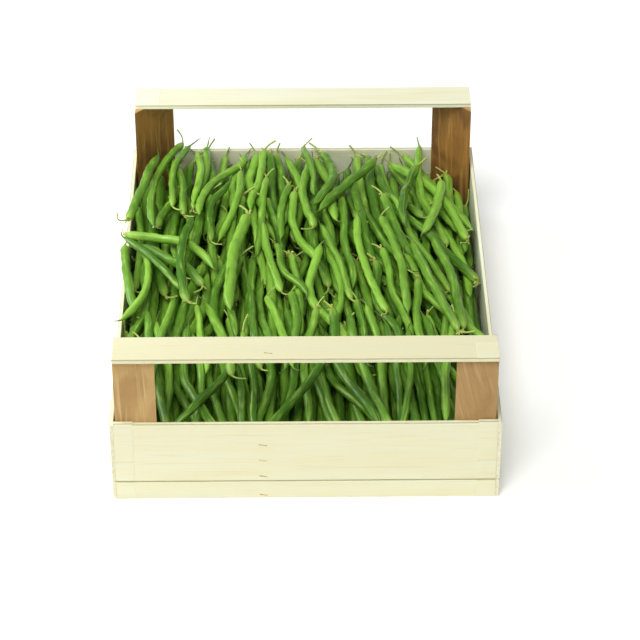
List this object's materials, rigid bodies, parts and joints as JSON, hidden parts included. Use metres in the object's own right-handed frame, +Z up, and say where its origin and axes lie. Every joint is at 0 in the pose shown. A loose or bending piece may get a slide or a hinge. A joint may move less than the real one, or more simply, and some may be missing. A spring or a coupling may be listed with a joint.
{
  "type": "crate of green beans",
  "caption": "Shallow wooden produce crate with triangular corner posts and flat carrying planks, filled with a heap of loose green beans.",
  "frame": {"origin": "centre of the crate's underside", "axes": "+Z up, +Y along the crate's length towards the back wall, +X to the right seen from the front"},
  "size_m": [0.3032, 0.4, 0.134],
  "materials": {
    "pale_wood": "rough-sawn pale poplar",
    "post_wood": "rough-sawn brown softwood",
    "slat_wood": "rough-sawn pale poplar",
    "bean_pod": "satin green skin"
  },
  "bodies": {
    "root": {"front_foot_board": "pale_wood", "front_wide_board": "pale_wood", "back_foot_board": "pale_wood", "back_wide_board": "pale_wood", "left_foot_board": "pale_wood", "left_wide_board": "pale_wood", "right_foot_board": "pale_wood", "right_wide_board": "pale_wood", "front_plank": "pale_wood", "back_plank": "pale_wood", "front_left_post": "post_wood", "front_right_post": "post_wood", "back_left_post": "post_wood", "back_right_post": "post_wood", "batten_1": "slat_wood", "batten_2": "slat_wood", "batten_3": "slat_wood", "slat_1": "slat_wood", "slat_2": "slat_wood", "slat_3": "slat_wood", "slat_4": "slat_wood", "slat_5": "slat_wood", "bean_heap": "bean_pod"}
  },
  "joints": []
}
